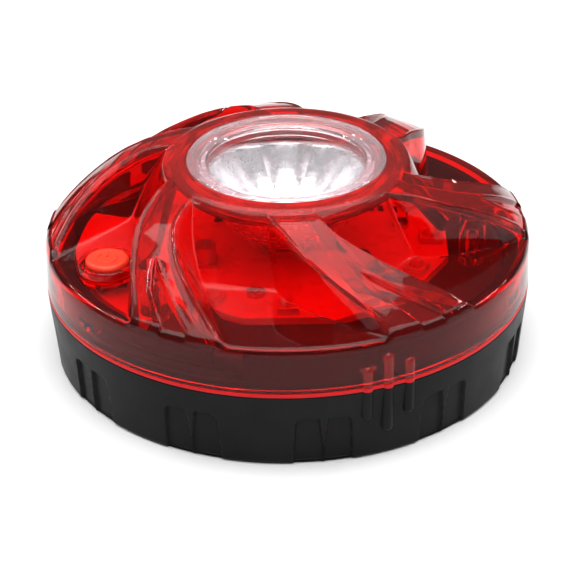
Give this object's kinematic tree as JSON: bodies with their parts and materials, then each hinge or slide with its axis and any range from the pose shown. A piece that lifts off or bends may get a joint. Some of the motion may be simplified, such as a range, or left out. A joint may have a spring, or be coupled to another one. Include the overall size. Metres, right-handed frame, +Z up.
{
  "type": "led safety flare",
  "caption": "Round battery warning light: red translucent cover with swirled blades, clear top lens over a reflector, twist-lock black base with magnet and fold-out hook.",
  "frame": {"origin": "on the ground, on the axis of the round body", "axes": "+Z up along the axis, -Y towards the three alignment ribs, +X to their right seen from the front"},
  "size_m": [0.105, 0.105, 0.0441],
  "materials": {
    "base_shell": "satin",
    "foot_pads": "matte",
    "magnet_cup": "satin",
    "magnet": "satin",
    "magnet_screw": "satin",
    "hook_pin": "satin",
    "hook": "satin",
    "seal_ring": "satin",
    "dome_cover": "gloss",
    "clear_lens": "gloss",
    "reflector": "mirror polish",
    "led_heat_spreader": "satin",
    "white_led": "gloss",
    "main_pcb": "satin",
    "pcb_screws": "satin",
    "red_leds": "gloss",
    "control_chip": "matte",
    "driver_coil": "matte",
    "capacitor": "satin",
    "resistors": "gloss",
    "switch_body": "satin",
    "carrier": "satin",
    "carrier_screws": "satin",
    "battery_cell_1": "satin",
    "battery_cell_2": "satin",
    "battery_cell_3": "satin",
    "contact_springs": "bright",
    "contact_plates": "bright",
    "power_button": "satin",
    "switch_plunger": "satin"
  },
  "bodies": {
    "base": {"base_shell": "base_shell", "foot_pads": "foot_pads", "magnet_cup": "magnet_cup", "magnet": "magnet", "magnet_screw": "magnet_screw", "hook_pin": "hook_pin", "seal_ring": "seal_ring"},
    "hook": {"hook": "hook"},
    "cover": {"dome_cover": "dome_cover", "clear_lens": "clear_lens", "reflector": "reflector", "led_heat_spreader": "led_heat_spreader", "white_led": "white_led", "main_pcb": "main_pcb", "pcb_screws": "pcb_screws", "red_leds": "red_leds", "control_chip": "control_chip", "driver_coil": "driver_coil", "capacitor": "capacitor", "resistors": "resistors", "switch_body": "switch_body", "carrier": "carrier", "carrier_screws": "carrier_screws", "battery_cell_1": "battery_cell_1", "battery_cell_2": "battery_cell_2", "battery_cell_3": "battery_cell_3", "contact_springs": "contact_springs", "contact_plates": "contact_plates"},
    "button": {"power_button": "power_button"},
    "plunger": {"switch_plunger": "switch_plunger"}
  },
  "joints": [
    {"name": "cover_twist", "type": "hinge", "parent": "base", "child": "cover", "pos_m": [0, 0, 0.0171], "axis": [0, 0, 1], "range_deg": [0, 40]},
    {"name": "hook_fold", "type": "hinge", "parent": "base", "child": "hook", "pos_m": [0, 0.0435, 0.003], "axis": [1, 0, 0], "range_deg": [0, 90]},
    {"name": "button_press", "type": "slide", "parent": "cover", "child": "button", "axis": [0, 0, -1], "range_m": [0, 0.0004], "stiffness_N_per_m": 4000, "springref_m": -0.0001},
    {"name": "plunger_press", "type": "slide", "parent": "cover", "child": "plunger", "axis": [0, 0, -1], "range_m": [0, 0.0004]}
  ],
  "couplings": [
    {"joint": "plunger_press", "follows": "button_press", "ratio": 1}
  ]
}
